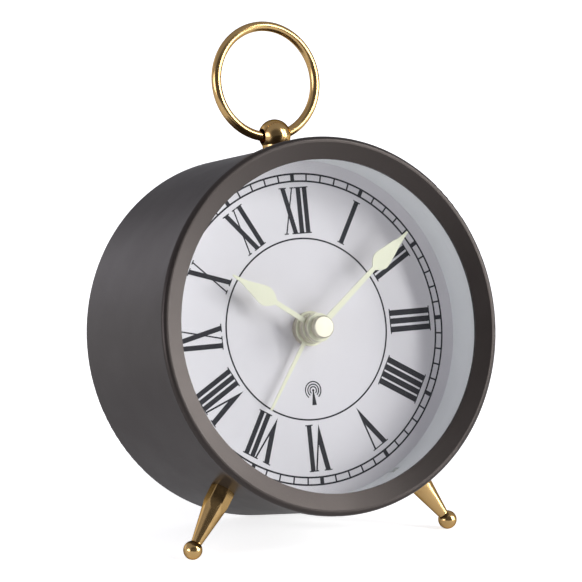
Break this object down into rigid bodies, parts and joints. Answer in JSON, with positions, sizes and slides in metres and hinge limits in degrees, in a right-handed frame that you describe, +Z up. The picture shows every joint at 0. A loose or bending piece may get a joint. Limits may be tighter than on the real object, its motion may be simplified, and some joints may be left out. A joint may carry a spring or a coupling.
{
  "type": "alarm clock",
  "caption": "Round drum alarm clock that leans back on tapered legs, with a ring handle, a roman-numeral dial behind glass, hands, and a rear cover with its controls and battery bay.",
  "frame": {"origin": "centre of the bounding box's base, on the table that the feet and the drum's rear edge stand on", "axes": "+Z up, -Y towards the person reading the dial, +X to that person's right; the dial leans back 15.5 degrees"},
  "size_m": [0.096, 0.0708, 0.1291],
  "materials": {
    "graphite_metal": "satin",
    "polished_brass": "polished",
    "champagne_metal": "satin",
    "front_glass": "polished",
    "white_plastic": "satin",
    "dial_card": "matt, printed",
    "light_lens": "clear",
    "hand_paint": "matt luminous paint",
    "black_plastic": "fine spark texture",
    "grey_plastic": "satin",
    "gear_plastic": "satin",
    "zinc_steel": "zinc plated",
    "copper_wire": "enamelled wire",
    "board_green": "solder mask",
    "component_black": "moulded",
    "ferrite": "matt",
    "battery_jacket": "printed jacket"
  },
  "bodies": {
    "case": {"case_drum": "graphite_metal", "bezel_ring": "graphite_metal", "front_glass": "front_glass", "dial_surround": "white_plastic", "dial_light": "light_lens", "dial_plate": "dial_card", "dial_carrier": "white_plastic", "dial_nut": "champagne_metal", "left_leg": "polished_brass", "right_leg": "polished_brass", "leg_nuts": "zinc_steel", "handle_stud": "polished_brass", "handle_nut": "zinc_steel", "stepper_stator": "zinc_steel", "stepper_coil": "copper_wire", "movement_shell": "grey_plastic", "movement_back": "grey_plastic", "circuit_board": "board_green", "board_screws": "zinc_steel", "key_switches": "component_black", "slide_switch": "component_black", "control_chip": "component_black", "quartz_crystal": "zinc_steel", "ferrite_rod": "ferrite", "antenna_coil": "copper_wire", "sounder": "component_black", "rear_cover": "black_plastic", "cover_screws": "zinc_steel", "aa_battery": "battery_jacket", "battery_contact": "zinc_steel", "battery_spring": "zinc_steel"},
    "minute_train": {"centre_wheel": "gear_plastic", "minute_hand": "hand_paint", "minute_hand_bush": "champagne_metal", "hand_cap": "champagne_metal"},
    "intermediate": {"intermediate_wheel": "gear_plastic"},
    "hour_train": {"hour_wheel": "gear_plastic", "hour_hand": "hand_paint", "hour_hand_bush": "champagne_metal"},
    "third": {"third_wheel": "gear_plastic"},
    "rotor": {"stepper_rotor": "gear_plastic"},
    "alarm_setting": {"alarm_arbor": "gear_plastic", "alarm_knob": "black_plastic"},
    "alarm_train": {"alarm_wheel": "gear_plastic", "alarm_hand": "hand_paint", "alarm_hand_bush": "champagne_metal"},
    "ring_handle": {"handle_ring": "polished_brass"},
    "snooze": {"snooze_button": "black_plastic"},
    "set": {"set_button": "grey_plastic"},
    "wave": {"wave_button": "grey_plastic"},
    "alarm_slider": {"alarm_switch": "grey_plastic"},
    "battery_door": {"battery_door": "black_plastic"}
  },
  "joints": [
    {"name": "minute_turn", "type": "hinge", "parent": "case", "child": "minute_train", "pos_m": [0, -0.00904, 0.05384], "axis": [0, 0.9637, -0.2671], "continuous": true},
    {"name": "intermediate_turn", "type": "hinge", "parent": "case", "child": "intermediate", "pos_m": [-0.01195, -0.00932, 0.05283], "axis": [0, 0.9637, -0.2671], "continuous": true},
    {"name": "hour_turn", "type": "hinge", "parent": "case", "child": "hour_train", "pos_m": [0, -0.00904, 0.05384], "axis": [0, 0.9637, -0.2671], "continuous": true},
    {"name": "third_turn", "type": "hinge", "parent": "case", "child": "third", "pos_m": [-0.0041, -0.00603, 0.06471], "axis": [0, 0.9637, -0.2671], "continuous": true},
    {"name": "rotor_turn", "type": "hinge", "parent": "case", "child": "rotor", "pos_m": [-0.01168, -0.00486, 0.06892], "axis": [0, 0.9637, -0.2671], "continuous": true},
    {"name": "knob_turn", "type": "hinge", "parent": "case", "child": "alarm_setting", "pos_m": [0.00848, -0.00634, 0.06358], "axis": [0, 0.9637, -0.2671], "continuous": true},
    {"name": "alarm_turn", "type": "hinge", "parent": "case", "child": "alarm_train", "pos_m": [0, -0.00904, 0.05384], "axis": [0, 0.9637, -0.2671], "continuous": true},
    {"name": "ring_swing", "type": "hinge", "parent": "case", "child": "ring_handle", "pos_m": [0, 0.01129, 0.10061], "axis": [1, 0, 0], "range_deg": [-93, 93]},
    {"name": "snooze_press", "type": "slide", "parent": "case", "child": "snooze", "axis": [0, -0.9637, 0.2671], "range_m": [0, 0.001], "stiffness_N_per_m": 400, "springref_m": -0.0005},
    {"name": "set_press", "type": "slide", "parent": "case", "child": "set", "axis": [0, -0.9637, 0.2671], "range_m": [0, 0.001], "stiffness_N_per_m": 400, "springref_m": -0.0005},
    {"name": "wave_press", "type": "slide", "parent": "case", "child": "wave", "axis": [0, -0.9637, 0.2671], "range_m": [0, 0.001], "stiffness_N_per_m": 400, "springref_m": -0.0005},
    {"name": "alarm_slide", "type": "slide", "parent": "case", "child": "alarm_slider", "axis": [0, 0.2671, 0.9637], "range_m": [0, 0.005]},
    {"name": "door_swing", "type": "hinge", "parent": "case", "child": "battery_door", "pos_m": [0, 0.0114, 0.01455], "axis": [-1, 0, 0], "range_deg": [0, 85]}
  ],
  "couplings": [
    {"joint": "intermediate_turn", "follows": "minute_turn", "ratio": -0.33333},
    {"joint": "hour_turn", "follows": "minute_turn", "ratio": 0.083333},
    {"joint": "third_turn", "follows": "minute_turn", "ratio": -5},
    {"joint": "rotor_turn", "follows": "minute_turn", "ratio": 30},
    {"joint": "alarm_turn", "follows": "knob_turn", "ratio": -0.33333}
  ]
}
